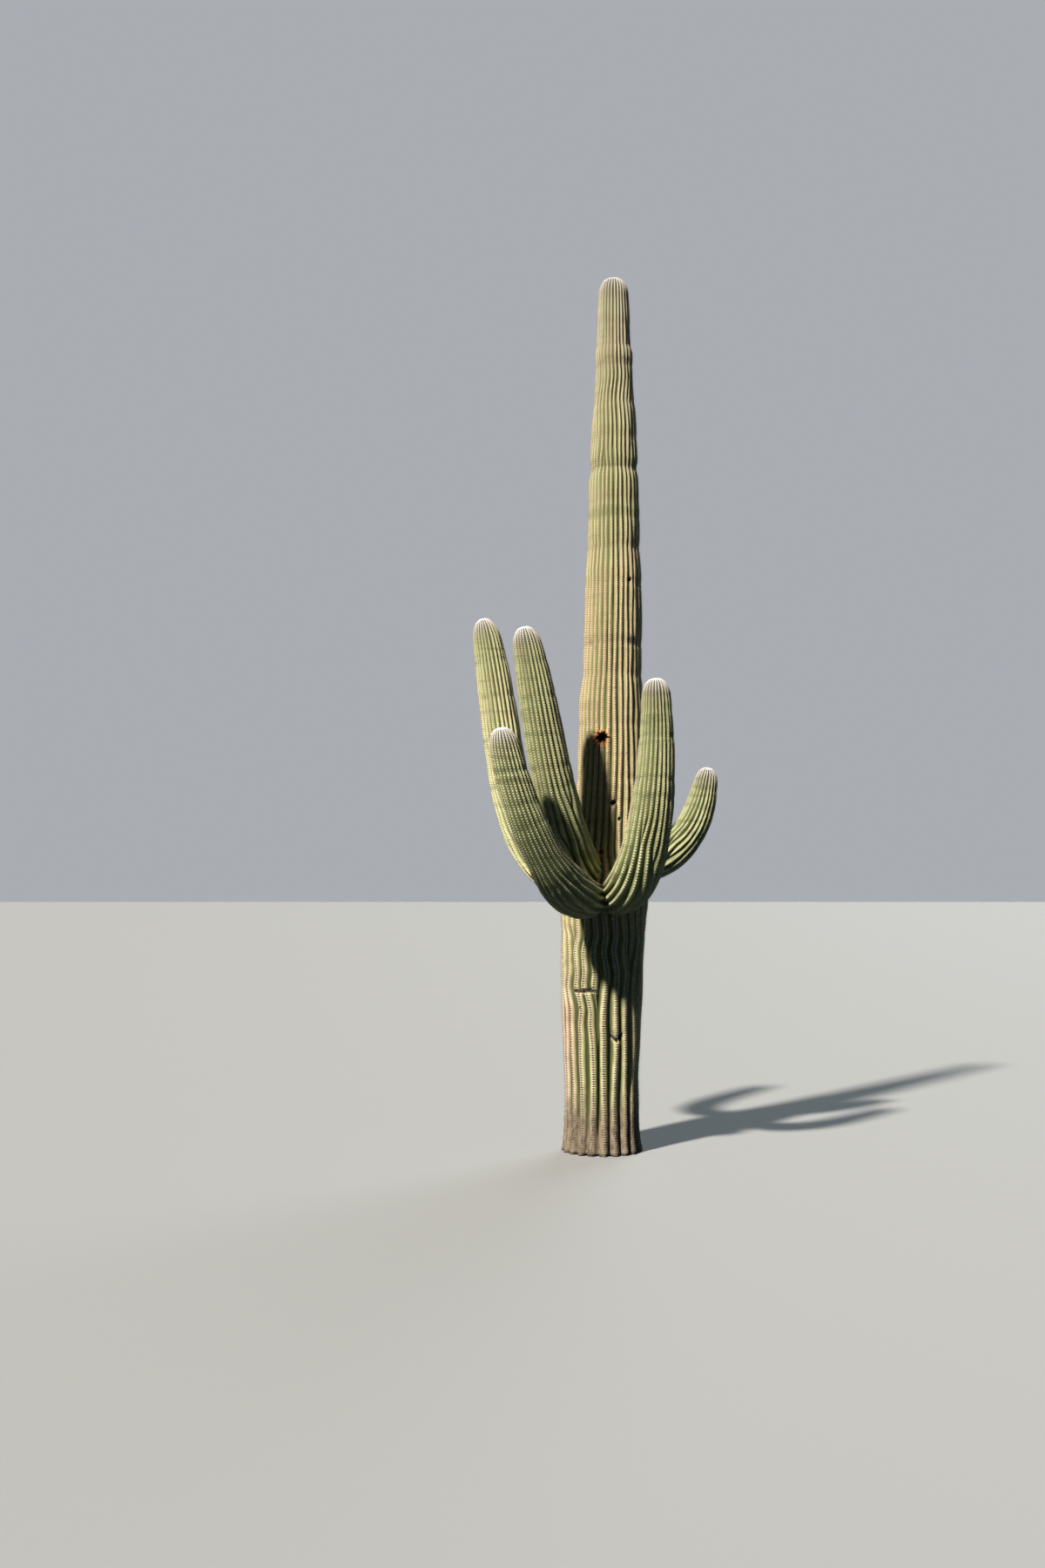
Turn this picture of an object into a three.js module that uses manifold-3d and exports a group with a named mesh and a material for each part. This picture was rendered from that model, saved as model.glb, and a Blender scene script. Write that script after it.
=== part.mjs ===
// A tall saguaro cactus: one ribbed trunk and five upturned arms.
// Sizes are millimetres, +Z is up, and the origin is in the flat cut at ground level.
import * as THREE from 'three';
import { mergeVertices } from 'three/addons/utils/BufferGeometryUtils.js';
import Module from 'manifold-3d';

const wasm = await Module();
wasm.setup();

// Trunk: height, the lean of its middle line and the radius over the rib crests, each by height
const TRUNK_HEIGHT = 6320;
const TRUNK_LEAN = [
  [0, -13], [700, -11], [1300, -5], [1660, 9], [2600, 60], [3200, 67], [3500, 76], [4150, 86], [4900, 91],
  [5300, 95], [6320, 94],
];
const TRUNK_GIRTH = [
  [0, 288], [60, 276], [180, 264], [450, 260], [710, 271], [960, 281], [1290, 290], [1520, 297],
  [1680, 307], [1850, 300], [2200, 268], [2600, 245], [2900, 236], [3180, 230], [3300, 220], [3400, 211],
  [3700, 208], [3990, 204], [4120, 201], [4240, 192], [4500, 186], [4740, 181], [5000, 171], [5150, 166],
  [5290, 157], [5450, 142], [5600, 134], [5740, 135], [5830, 123], [6050, 117], [6170, 111],
];
const TRUNK_DOME = 150;
// Yearly waists where the trunk narrows: height, depth and half length
const TRUNK_WAISTS = [[4308, 6, 40], [4888, 13, 42], [4640, 3, 50]];

// Ribs of the trunk: the count at the foot and higher up, where they fork, where some end,
// and how far the first rib lies round the trunk at each height
const TRUNK_RIBS = {
  foot: 20, full: 32, forkFrom: 850, forkTo: 1950, lost: 4, lostFrom: 4800, lostTo: 5700,
  turn: [[0, 0.16], [750, 0.18], [930, 0.13], [1110, 0.04], [1500, 0.07], [1950, 0.13], [3000, 0.15]],
};
const RIB_DEPTH = 0.40;
const RIB_FADE = 250;
const RIB_SEED = 0.04;

// The old nest hole in the trunk: height, bearing seen from above, mouth radius and depth
const NEST_HEIGHT = 2911;
const NEST_BEARING = -1.92;
const NEST_RADIUS = 29;
const NEST_DEPTH = 95;

// Clearance between neighbouring pieces, and the superellipse power of every rounded tip
const GAP = 0.3;
const TIP_POWER = 2.4;

// Each arm: four control points of its middle line, radius by share of its length, where the elbow ends
const ARMS = {
  arm_front_left: {
    line: [[-56, -170, 1795], [-320, -1010, 1645], [-640, -1040, 2390], [-715, -1100, 2887]],
    girth: [
      [0, 98], [0.1, 128], [0.2, 150], [0.3, 158], [0.38, 153], [0.45, 138],
      [0.52, 126], [0.6, 123], [0.68, 121], [0.78, 115], [0.9, 104], [1, 92],
    ],
    elbow: 0.44, dome: 150, ribs: { foot: 15, full: 24 },
  },
  arm_front_right: {
    line: [[32, -170, 1792], [268, -885, 1738], [360, -660, 2630], [325, -700, 3263]],
    girth: [
      [0, 104], [0.1, 138], [0.2, 158], [0.3, 160], [0.43, 151],
      [0.58, 138], [0.75, 121], [0.9, 103], [1, 92],
    ],
    elbow: 0.31, dome: 140, ribs: { foot: 15, full: 24 },
  },
  arm_mid_left: {
    line: [[-70, -80, 1930], [-338, -648, 2012], [-440, -720, 3048], [-569, -750, 3606]],
    girth: [
      [0, 104], [0.1, 134], [0.2, 148], [0.35, 148], [0.5, 141],
      [0.68, 133], [0.82, 119], [0.93, 100], [1, 86],
    ],
    elbow: 0.30, dome: 135, ribs: { foot: 15, full: 24 },
  },
  arm_back_left: {
    line: [[-110, 60, 1925], [-738, 326, 1802], [-684, 321, 3110], [-873, 300, 3847]],
    girth: [
      [0, 104], [0.1, 136], [0.22, 148], [0.4, 150], [0.6, 142],
      [0.8, 127], [0.92, 109], [1, 94],
    ],
    elbow: 0.27, dome: 190, ribs: { foot: 15, full: 24 },
  },
  arm_back_right: {
    line: [[110, 60, 1955], [690, 240, 2053], [750, 292, 2450], [797, 300, 2735]],
    girth: [
      [0, 98], [0.14, 122], [0.3, 133], [0.45, 131], [0.6, 121],
      [0.78, 105], [0.92, 86], [1, 72],
    ],
    elbow: 0.48, dome: 115, ribs: { foot: 14, full: 22 },
  },
};

// Colours: pale olive skin seen through its spines, a browner old trunk
const SKINS = {
  trunk: [0x98895f, 0.78],
  elbow: [0x8b8358, 0.76],
  column: [0x9c9768, 0.74],
};

// A smooth value between the pairs of a list
function blend(list, x) {
  const last = list.length - 1;
  if (x <= list[0][0]) return list[0][1];
  if (x >= list[last][0]) return list[last][1];
  let k = 0;
  while (list[k + 1][0] < x) k += 1;
  const slope = (i) => {
    const a = list[Math.max(i - 1, 0)];
    const b = list[Math.min(i + 1, last)];
    return (b[1] - a[1]) / (b[0] - a[0]);
  };
  const [x0, y0] = list[k];
  const [x1, y1] = list[k + 1];
  const h = x1 - x0;
  const t = (x - x0) / h;
  const u = 1 - t;
  const ends = y0 * u * u * (1 + 2 * t) + y1 * t * t * (1 + 2 * u);
  return ends + h * t * u * (slope(k) * u - slope(k + 1) * t);
}

function smooth(x) {
  const t = Math.min(Math.max(x, 0), 1);
  return t * t * (3 - 2 * t);
}

// A repeatable scatter between 0 and 1
function scatter(n) {
  const v = Math.sin(n * 12.9898 + 4.1) * 43758.5453;
  return v - Math.floor(v);
}

// An even order round the limb, so that ribs which fork or end one after another lie far apart
function spread(k) {
  return (0.764 + 0.618034 * k) % 1;
}

// Widths of the ribs at a place along a limb: young ribs start thin and widen, lost ribs thin out
function ribShares(ribs, s) {
  const { full, foot, lost = 0 } = ribs;
  const shares = [];
  let young = 0;
  let ended = 0;
  for (let i = 0; i < full; i += 1) {
    let share = 1;
    if (Math.floor((i + 1) * (full - foot) / full) > Math.floor(i * (full - foot) / full)) {
      const start = ribs.forkFrom + spread(young) * (ribs.forkTo - ribs.forkFrom);
      share = smooth((s - start) / RIB_FADE);
      young += 1;
    } else if (Math.floor((i + 4) * lost / full) > Math.floor((i + 3) * lost / full)) {
      const end = ribs.lostFrom + spread(ended) * (ribs.lostTo - ribs.lostFrom);
      share = 1 - smooth((s - end) / RIB_FADE);
      ended += 1;
    }
    shares.push(Math.max(share, RIB_SEED));
  }
  return shares;
}

// Bearings of every crest and valley at a place, as [angle, height of the rib there]
function ribRing(ribs, s) {
  const shares = ribShares(ribs, s);
  const total = shares.reduce((a, b) => a + b, 0);
  const turn = blend(ribs.turn, s);
  const ring = [];
  let sum = 0;
  for (let i = 0; i < ribs.full; i += 1) {
    const sway = 0.10 * Math.sin(s / (150 + 90 * scatter(i + 31)) + 6.283 * scatter(i + 57));
    ring.push([(sum / total) * 2 * Math.PI + turn, 0]);
    ring.push([((sum + shares[i] * (0.5 + sway * shares[i])) / total) * 2 * Math.PI + turn, shares[i]]);
    sum += shares[i];
  }
  return { ring, total };
}

// Radius of a limb over its crests, with its rounded tip
function girth(list, length, dome, s) {
  const q = (s - (length - dome)) / dome;
  const r = blend(list, s);
  if (q <= 0) return r;
  return r * Math.pow(Math.max(1 - Math.pow(q, TIP_POWER), 0), 1 / TIP_POWER);
}

// A ribbed limb turned on its axis, then placed ring by ring along its own middle line
function limb(stations, ribs, radius, place, grow) {
  const first = stations[0];
  const last = stations[stations.length - 1];
  const profile = stations.map((s) => new THREE.Vector2(Math.max(radius(s), 0), s));
  profile[0].x = radius(first);
  if (radius(first) > 1) profile.unshift(new THREE.Vector2(0, first));
  if (radius(last) > 1) {
    profile.push(new THREE.Vector2(0, last));
  } else {
    profile[profile.length - 1].x = 0;
  }
  const sides = ribs.full * 2;
  const solid = new THREE.LatheGeometry(profile, sides);
  const spot = solid.attributes.position;
  const turn = solid.attributes.uv;
  const rings = new Map();
  for (let v = 0; v < spot.count; v += 1) {
    const s = spot.getY(v);
    const step = Math.round(turn.getX(v) * sides) % sides;
    const key = s.toFixed(2);
    if (!rings.has(key)) rings.set(key, ribRing(ribs, s));
    const { ring, total } = rings.get(key);
    const flat = Math.hypot(spot.getX(v), spot.getZ(v));
    let r = 0;
    if (flat > 1e-6) {
      const depth = RIB_DEPTH * 2 * Math.PI * flat / total;
      r = flat - depth * (1 - ring[step][1]) + grow;
    }
    const rise = s + (flat < 1e-6 && s > last - 1 ? grow : 0);
    const p = place(rise, r, ring[step][0]);
    spot.setXYZ(v, p.x, p.y, p.z);
  }
  solid.deleteAttribute('normal');
  solid.deleteAttribute('uv');
  return mergeVertices(solid, 1e-3);
}

// Stations along a limb: even steps on its length, closer ones round its tip
function stationsOf(from, to, step, dome, extra) {
  const list = [];
  const body = dome ? to - dome : to;
  const count = Math.max(1, Math.round((body - from) / step));
  for (let k = 0; k <= count; k += 1) list.push(from + (body - from) * k / count);
  if (dome) [0.38, 0.64, 0.83, 0.95, 1].forEach((q) => list.push(body + dome * q));
  extra.forEach((s) => list.push(s));
  list.sort((a, b) => a - b);
  return list.filter((s, k) => k === 0 || s > body || s - list[k - 1] > 18);
}

function toManifold(geometry) {
  const mesh = new wasm.Mesh({
    numProp: 3,
    vertProperties: new Float32Array(geometry.attributes.position.array),
    triVerts: new Uint32Array(geometry.index.array),
  });
  return new wasm.Manifold(mesh);
}

function toGeometry(solid) {
  const mesh = solid.getMesh();
  const geometry = new THREE.BufferGeometry();
  geometry.setAttribute('position', new THREE.Float32BufferAttribute(mesh.vertProperties, 3));
  geometry.setIndex(new THREE.Uint32BufferAttribute(mesh.triVerts, 1));
  return geometry;
}

// Trunk: level rings round a leaning middle line, so that the foot is a flat cut
function trunkRadius(s) {
  let r = girth(TRUNK_GIRTH, TRUNK_HEIGHT, TRUNK_DOME, s);
  TRUNK_WAISTS.forEach(([height, depth, half]) => {
    r -= depth * Math.exp(-Math.pow((s - height) / half, 2));
  });
  return r;
}

function trunkPlace(s, r, angle) {
  return new THREE.Vector3(blend(TRUNK_LEAN, s) + r * Math.cos(angle), r * Math.sin(angle), s);
}

function trunkSolid(grow) {
  const waists = TRUNK_WAISTS.flatMap(([height, , half]) => [height - half, height, height + half]);
  const marks = TRUNK_GIRTH.map(([height]) => height).concat(waists);
  const stations = stationsOf(0, TRUNK_HEIGHT, 1500, TRUNK_DOME, marks);
  return toManifold(limb(stations, TRUNK_RIBS, trunkRadius, trunkPlace, grow));
}

// Nest hole: a pocket with a rounded back, cut in from the surface
function nestPocket() {
  const profile = [[0, -NEST_DEPTH], [0.6, -NEST_DEPTH * 0.93], [1, -NEST_DEPTH * 0.7], [1, 60], [0, 60]];
  const pocket = new THREE.LatheGeometry(profile.map(([r, s]) => new THREE.Vector2(r * NEST_RADIUS, s)), 14);
  pocket.rotateZ(-Math.PI / 2);
  pocket.translate(trunkRadius(NEST_HEIGHT), 0, 0);
  pocket.rotateZ(NEST_BEARING);
  pocket.translate(blend(TRUNK_LEAN, NEST_HEIGHT), 0, NEST_HEIGHT);
  pocket.deleteAttribute('normal');
  pocket.deleteAttribute('uv');
  return toManifold(mergeVertices(pocket, 1e-3));
}

// Arms: rings square to a curved middle line, the elbow and the upright column cut apart at the bend
function armPart(arm, part, grow) {
  const curve = new THREE.CubicBezierCurve3(...arm.line.map((p) => new THREE.Vector3(...p)));
  curve.arcLengthDivisions = 400;
  const length = curve.getLength();
  const [root, , , tip] = arm.line;
  const out = new THREE.Vector3(tip[0] - root[0], tip[1] - root[1], 0).normalize();
  const across = new THREE.Vector3(out.y, -out.x, 0);
  const ribs = { ...arm.ribs, forkFrom: 0.2 * length, forkTo: 0.42 * length, turn: [[0, 0.05]] };
  const sizes = arm.girth.map(([share, r]) => [share * length, r]);
  const radius = (s) => girth(sizes, length, arm.dome, s);
  const place = (s, r, angle) => {
    const u = Math.min(Math.max(s / length, 0), 1);
    const ahead = curve.getTangentAt(u);
    const side = across.clone().addScaledVector(ahead, -across.dot(ahead)).normalize();
    const under = new THREE.Vector3().crossVectors(ahead, side);
    const p = curve.getPointAt(u).addScaledVector(ahead, s - u * length);
    return p.addScaledVector(side, r * Math.cos(angle)).addScaledVector(under, r * Math.sin(angle));
  };
  const cut = arm.elbow * length;
  const stations = part === 'elbow'
    ? stationsOf(0, cut - GAP / 2, 98, 0, [])
    : stationsOf(cut + GAP / 2, length, 150, arm.dome, []);
  return toManifold(limb(stations, ribs, radius, place, grow));
}

function finish(name, solid, kind) {
  const [color, roughness] = SKINS[kind];
  const material = new THREE.MeshStandardMaterial({ color, roughness, metalness: 0 });
  const mesh = new THREE.Mesh(toGeometry(solid), material);
  mesh.name = name;
  return mesh;
}

const cactus = new THREE.Group();
cactus.add(finish('trunk', trunkSolid(0).subtract(nestPocket()), 'trunk'));

// Every arm stops clear of the trunk and of the arms before it
const before = [trunkSolid(GAP)];
Object.entries(ARMS).forEach(([name, arm]) => {
  const grown = [];
  ['elbow', 'column'].forEach((part) => {
    let solid = armPart(arm, part, 0);
    before.forEach((other) => {
      solid = solid.subtract(other);
    });
    cactus.add(finish(`${name}_${part}`, solid, part));
    grown.push(armPart(arm, part, GAP));
  });
  before.push(...grown);
});

export default cactus;
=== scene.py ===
"""A saguaro cactus: trunk and five arms in ribbed relief, with spines, felt, woolly tips and old scars."""
import math

import bmesh
import bpy
import numpy as np
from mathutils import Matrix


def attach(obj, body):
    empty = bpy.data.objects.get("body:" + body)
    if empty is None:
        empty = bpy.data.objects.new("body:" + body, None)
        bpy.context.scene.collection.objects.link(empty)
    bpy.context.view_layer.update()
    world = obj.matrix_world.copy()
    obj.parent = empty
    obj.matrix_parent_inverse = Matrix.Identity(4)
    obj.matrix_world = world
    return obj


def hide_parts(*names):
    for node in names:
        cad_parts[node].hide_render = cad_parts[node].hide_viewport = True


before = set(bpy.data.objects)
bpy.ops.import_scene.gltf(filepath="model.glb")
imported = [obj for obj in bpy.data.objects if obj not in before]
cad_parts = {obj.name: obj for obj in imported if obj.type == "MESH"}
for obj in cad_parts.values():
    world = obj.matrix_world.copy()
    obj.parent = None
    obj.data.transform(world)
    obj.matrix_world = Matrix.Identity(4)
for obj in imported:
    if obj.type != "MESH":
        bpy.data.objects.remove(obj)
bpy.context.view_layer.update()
draw = np.random.default_rng(31)

# Sizes in millimetres, the same as in the solids. The trunk's middle line: height, and place to the right
MM = 0.001
TRUNK_HEIGHT = 6320
TRUNK_LEAN = [
    (0, -13), (700, -11), (1300, -5), (1660, 9), (2600, 60), (3200, 67), (3500, 76), (4150, 86), (4900, 91),
    (5300, 95), (6320, 94),
]
# The trunk's radius at each height
TRUNK_GIRTH = [
    (0, 288), (60, 276), (180, 264), (450, 260), (710, 271), (960, 281), (1290, 290), (1520, 297),
    (1680, 307), (1850, 300), (2200, 268), (2600, 245), (2900, 236), (3180, 230), (3300, 220), (3400, 211),
    (3700, 208), (3990, 204), (4120, 201), (4240, 192), (4500, 186), (4740, 181), (5000, 171), (5150, 166),
    (5290, 157), (5450, 142), (5600, 134), (5740, 135), (5830, 123), (6050, 117), (6170, 111),
]
TRUNK_DOME = 150
# Waists, and slight rings where each year's growth began: height, depth and half width
TRUNK_WAISTS = [(4308, 6, 40), (4888, 13, 42), (4640, 3, 50)]
TRUNK_RINGS = [
    (1530, 3, 30), (2335, 3, 24), (2452, 4, 24), (2636, 4, 26), (3014, 4, 28), (3374, 4, 28), (3605, 4.5, 26),
    (4043, 3, 26), (4534, 3, 26), (5120, 3, 26), (5379, 4, 24), (5657, 4.5, 20), (5808, 3.5, 18),
    (5956, 2.5, 16),
]
# How far the ribs are turned at each height, in radians
TRUNK_TURN = [(0, 0.16), (750, 0.18), (930, 0.13), (1110, 0.04), (1500, 0.07), (1950, 0.13), (3000, 0.15)]
# A level cut across the lower trunk. The ribs under it are out of step, by slip, over a reach
CUT = dict(height=1132, start=-2.44, end=-1.76, depth=18, half=13, wave=4, vee=0, slip=0.075, reach=230)
# A short pinch where a rib's lower end meets the next rib
PINCH = dict(height=788, start=-1.44, end=-0.98, depth=26, half=20, wave=0, vee=240)
CUT_WAVES = 9
# Ribs of the trunk: how many in all and at the foot, where they fork, how many end where, and how sharp
TRUNK_RIBS = dict(
    full=32, foot=20, fork_from=850, fork_to=1950, lost=4, lost_from=4800, lost_to=5700,
    turn=TRUNK_TURN, sharp=[(0, 0.62), (6320, 0.66)], cut=CUT,
)
ARM_TURN = [(0, 0.05), (1, 0.05)]
RIB_DEPTH = 0.52
RIB_FADE = 250
RIB_SEED = 0.04
TIP_POWER = 2.4
# How far a rib wanders, as a share of its width, and its waves' shortest and added length
RIB_SWAY, SWAY_SHORTEST, SWAY_ADDED = 0.1, 150, 90
# Lumps along the crests: height, length, how much they differ by rib, and their seed
LUMPS = [(1.6, 61, 9, 5), (1.5, 143, 7, 11)]
SMOOTH_TIP = 300
# The arms: the corners of the middle line, and the radius at shares of its length. Warm is how yellow they are
ARMS = {
    "arm_front_left": dict(
        line=[(-56, -170, 1795), (-320, -1010, 1645), (-640, -1040, 2390), (-715, -1100, 2887)],
        girth=[
            (0, 98), (0.1, 128), (0.2, 150), (0.3, 158), (0.38, 153), (0.45, 138), (0.52, 126), (0.6, 123),
            (0.68, 121), (0.78, 115), (0.9, 104), (1, 92),
        ],
        rings=[(1538, 5, 22), (1317, 3, 22), (1174, 2.5, 22), (748, 4, 24)],
        warm=-0.4, dome=150, foot=15, full=24,
    ),
    "arm_front_right": dict(
        line=[(32, -170, 1792), (268, -885, 1738), (360, -660, 2630), (325, -700, 3263)],
        girth=[
            (0, 104), (0.1, 138), (0.2, 158), (0.3, 160), (0.43, 151), (0.58, 138), (0.75, 121),
            (0.9, 103), (1, 92),
        ],
        rings=[(1713, 2, 16), (1618, 3, 20), (1441, 3.5, 24), (1157, 3, 24), (1033, 2.5, 22)],
        warm=0.08, dome=140, foot=15, full=24,
    ),
    "arm_mid_left": dict(
        line=[(-70, -80, 1930), (-338, -648, 2012), (-440, -720, 3048), (-569, -750, 3606)],
        girth=[
            (0, 104), (0.1, 134), (0.2, 148), (0.35, 148), (0.5, 141), (0.68, 133), (0.82, 119),
            (0.93, 100), (1, 86),
        ],
        rings=[(1756, 2.5, 20), (1518, 3, 24), (1049, 3.5, 24), (908, 3, 24)],
        warm=0.4, dome=135, foot=15, full=24,
    ),
    "arm_back_left": dict(
        line=[(-110, 60, 1925), (-738, 326, 1802), (-684, 321, 3110), (-873, 300, 3847)],
        girth=[(0, 104), (0.1, 136), (0.22, 148), (0.4, 150), (0.6, 142), (0.8, 127), (0.92, 109), (1, 94)],
        rings=[(1950, 2.5, 20), (1687, 3, 24), (1358, 3, 24), (1020, 3, 24)],
        warm=0.8, dome=190, foot=15, full=24,
    ),
    "arm_back_right": dict(
        line=[(110, 60, 1955), (690, 240, 2053), (750, 292, 2450), (797, 300, 2735)],
        girth=[(0, 98), (0.14, 122), (0.3, 133), (0.45, 131), (0.6, 121), (0.78, 105), (0.92, 86), (1, 72)],
        rings=[(1000, 2, 16), (841, 2.5, 20), (620, 2.5, 22)],
        warm=0.1, dome=115, foot=14, full=22,
    ),
}

# Finer relief: columns across a rib, steps along a limb and over a tip, and cuts of an edge near a wound
ACROSS = 8
TRUNK_STEP, ARM_STEP = 26, 15
TIP_STEPS, LEAST_STEP = 17, 3.5
FINER = 2

# Spine clusters: their spacing along a rib, and how it closes up towards a growing tip
CLUSTER_SPACING = 16.5
CLUSTER_AT_TIP = 5.5
TIP_REACH = 130
RIB_PHASE = 0.618034
BARE_RIB = 0.45


def blend(pairs, x):
    """Smooth values between the pairs of a list."""
    xs, ys = (np.array(v, float) for v in zip(*pairs))
    x = np.clip(np.asarray(x, float), xs[0], xs[-1])
    k = np.clip(np.searchsorted(xs, x, side="left") - 1, 0, len(xs) - 2)
    low, high = np.maximum(np.arange(len(xs)) - 1, 0), np.minimum(np.arange(len(xs)) + 1, len(xs) - 1)
    slope = (ys[high] - ys[low]) / (xs[high] - xs[low])
    h = xs[k + 1] - xs[k]
    t = (x - xs[k]) / h
    u = 1 - t
    ends = ys[k] * u * u * (1 + 2 * t) + ys[k + 1] * t * t * (1 + 2 * u)
    return ends + h * t * u * (slope[k] * u - slope[k + 1] * t)


def smooth(x):
    """0 below 0, 1 above 1, smooth between."""
    t = np.clip(x, 0, 1)
    return t * t * (3 - 2 * t)


def scatter(n):
    """A repeatable scatter between 0 and 1."""
    v = np.sin(np.asarray(n, float) * 12.9898 + 4.1) * 43758.5453
    return v - np.floor(v)


def unit(v):
    return v / np.maximum(np.linalg.norm(v, axis=-1, keepdims=True), 1e-9)


class Limb:
    """A ribbed limb, and where each point of its skin lies."""

    def __init__(self, name, length, dome, girth, waists, rings, ribs, place):
        self.name, self.length, self.dome, self.girth, self.waists = name, length, dome, girth, waists
        self.rings, self.ribs, self.place, self.full = rings, ribs, place, ribs["full"]
        self.marks = np.arange(0, length + 1, 2.0)
        away = np.clip((length - self.marks) / TIP_REACH, 0, 1)
        gap = CLUSTER_AT_TIP + (CLUSTER_SPACING - CLUSTER_AT_TIP) * smooth(away)
        self.tally = np.concatenate([[0], np.cumsum(2.0 / gap[:-1])])

    def radius(self, s):
        r = blend(self.girth, s)
        q = np.clip((np.asarray(s, float) - (self.length - self.dome)) / self.dome, 0, 1)
        r = r * (1 - q ** TIP_POWER) ** (1 / TIP_POWER)
        for height, depth, half in self.waists:
            r = r - depth * np.exp(-(((s - height) / half) ** 2))
        return np.maximum(r, 0)

    def ringed(self, s):
        """How deep in one of the yearly rings a place lies, from 0 to 1, and in millimetres."""
        near, depth = np.zeros(len(s)), np.zeros(len(s))
        for height, most, half in [*self.rings, *self.waists]:
            dip = np.exp(-(((s - height) / half) ** 2))
            near = np.maximum(near, dip)
            if (height, most, half) not in self.waists:
                depth = depth + most * dip
        return near, depth

    def shares(self, s):
        """Widths of the ribs at each place: young ribs start thin and widen, lost ribs thin out."""
        full, foot, lost = self.full, self.ribs["foot"], self.ribs.get("lost", 0)
        out = np.ones((len(s), full))
        young = ended = 0
        for i in range(full):
            if (i + 1) * (full - foot) // full > i * (full - foot) // full:
                start = self.spread(young, "fork_from", "fork_to")
                out[:, i] = smooth((s - start) / RIB_FADE)
                young += 1
            elif (i + 4) * lost // full > (i + 3) * lost // full:
                end = self.spread(ended, "lost_from", "lost_to")
                out[:, i] = 1 - smooth((s - end) / RIB_FADE)
                ended += 1
        return np.maximum(out, RIB_SEED)

    def spread(self, k, first, last):
        """Where rib number k forks or ends, in an even order round the limb."""
        return self.ribs[first] + (0.764 + RIB_PHASE * k) % 1 * (self.ribs[last] - self.ribs[first])

    def skin(self, s, u):
        """Points of the skin at lengths s and rib places u, with how near each is to a crest."""
        s, u = np.asarray(s, float), np.asarray(u, float)
        rib = np.floor(u).astype(int) % self.full
        p = u - np.floor(u)
        lengths, back = np.unique(s, return_inverse=True)
        share = self.shares(lengths)
        edge = np.cumsum(share, axis=1) - share
        w, e, total = share[back, rib], edge[back, rib], share.sum(1)[back]
        wave = SWAY_SHORTEST + SWAY_ADDED * scatter(rib + 31)
        sway = RIB_SWAY * np.sin(s / wave + 6.283 * scatter(rib + 57))
        across = e + w * (p + sway * w * 4 * p * (1 - p))
        angle = blend(self.ribs["turn"], s) + 2 * np.pi * across / total
        angle = angle + self.slip(s, angle)
        crest = w * np.sin(np.pi * p) ** blend(self.ribs["sharp"], s)
        r = self.radius(s)
        depth = RIB_DEPTH * 2 * np.pi * r / total
        calm = smooth((self.length - s) / SMOOTH_TIP)
        lumps = sum(high * np.sin(s / long + turn * scatter(rib + seed)) for high, long, turn, seed in LUMPS)
        r = r - depth * (1 - crest) + lumps * crest * calm - self.ringed(s)[1] * (0.4 + 0.6 * crest)
        return self.place(s, r, angle), crest

    def slip(self, s, angle):
        """How far the ribs just under the cut are turned."""
        cut = self.ribs.get("cut")
        if cut is None:
            return 0.0
        bearing = (angle + np.pi) % (2 * np.pi) - np.pi
        span = smooth((bearing - cut["start"]) / 0.16) * smooth((cut["end"] - bearing) / 0.16)
        under = smooth((s - cut["height"] + cut["reach"]) / cut["reach"]) * (s < cut["height"])
        return cut["slip"] * span * under

    def clusters(self):
        """Lengths and rib places of all the spine clusters."""
        ss, us = [], []
        for rib in range(self.full):
            phase = 0.5 + (RIB_PHASE * rib) % 1
            count = np.arange(phase, self.tally[-1], 1.0)
            s = np.interp(count, self.tally, self.marks)
            grown = self.shares(s)[:, rib] > BARE_RIB
            ss.append(s[grown])
            us.append(np.full(grown.sum(), rib + 0.5))
        return np.concatenate(ss), np.concatenate(us)

    def frames(self, s, u):
        """Place, outward, upward and sideways directions on the skin."""
        here = self.skin(s, u)[0]
        up = unit(self.skin(np.minimum(s + 3, self.length), u)[0] - self.skin(s - 3, u)[0])
        side = unit(self.skin(s, u + 0.06)[0] - self.skin(s, u - 0.06)[0])
        out = unit(np.cross(side, up))
        return here, out, up, unit(np.cross(up, out))


def trunk_place(s, r, angle):
    return np.stack([blend(TRUNK_LEAN, s) + r * np.cos(angle), r * np.sin(angle), s], axis=-1) * MM


def arm_place(line):
    """A function that places rings square to an arm's curved middle line, and that line."""
    p = np.array(line, float)
    t = np.linspace(0, 1, 1601)[:, None]
    mid = (1 - t) ** 3 * p[0] + 3 * (1 - t) ** 2 * t * p[1] + 3 * (1 - t) * t ** 2 * p[2] + t ** 3 * p[3]
    slope = 3 * (1 - t) ** 2 * (p[1] - p[0]) + 6 * (1 - t) * t * (p[2] - p[1]) + 3 * t ** 2 * (p[3] - p[2])
    run = np.concatenate([[0], np.cumsum(np.linalg.norm(np.diff(mid, axis=0), axis=1))])
    ahead = unit(slope)
    out = unit(np.array([p[3][0] - p[0][0], p[3][1] - p[0][1], 0.0]))
    across = np.array([out[1], -out[0], 0.0])
    side = unit(across - ahead * (ahead @ across)[:, None])
    under = np.cross(ahead, side)

    def at(s, table):
        return np.stack([np.interp(s, run, table[:, k]) for k in range(3)], axis=-1)

    def place(s, r, angle):
        beyond = (s - np.clip(s, 0, run[-1]))[..., None]
        ring = at(s, side) * (r * np.cos(angle))[..., None] + at(s, under) * (r * np.sin(angle))[..., None]
        return (at(s, mid) + at(s, ahead) * beyond + ring) * MM

    return place, run[-1], mid * MM, run


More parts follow.
